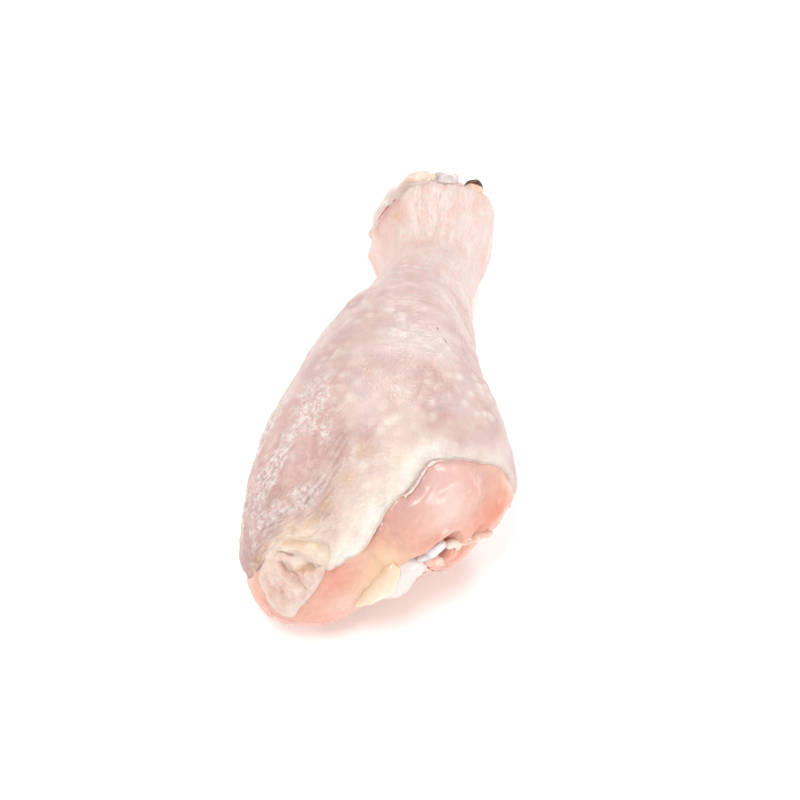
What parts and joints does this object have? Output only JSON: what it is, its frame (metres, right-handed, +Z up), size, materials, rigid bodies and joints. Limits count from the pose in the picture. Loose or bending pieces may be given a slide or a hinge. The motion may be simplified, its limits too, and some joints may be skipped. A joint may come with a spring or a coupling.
{
  "type": "raw chicken drumstick",
  "caption": "Raw chicken drumstick with its skin on, lying on its side, with bare meat and the joint end of the bone at the knee cut and the two condyles at the hock.",
  "frame": {"origin": "the middle of the bottom of its box, on the table it lies on", "axes": "+Z up, +Y along the leg from the thick knee end towards the hock, +X towards the lean shin side"},
  "size_m": [0.0535, 0.1198, 0.0478],
  "materials": {
    "skin": "wet, soft, finely pimpled raw skin",
    "meat": "wet glossy raw muscle",
    "cartilage": "smooth wet cartilage over bone",
    "fat": "soft pale yellow fat",
    "tendon": "wet white fibrous tendon",
    "gristle": "translucent tan gristle"
  },
  "bodies": {
    "root": {"skin": "skin", "meat": "meat", "bone": "cartilage", "knee_fat": "fat", "knee_ligament": "tendon", "hock_gristle": "gristle"}
  },
  "joints": []
}
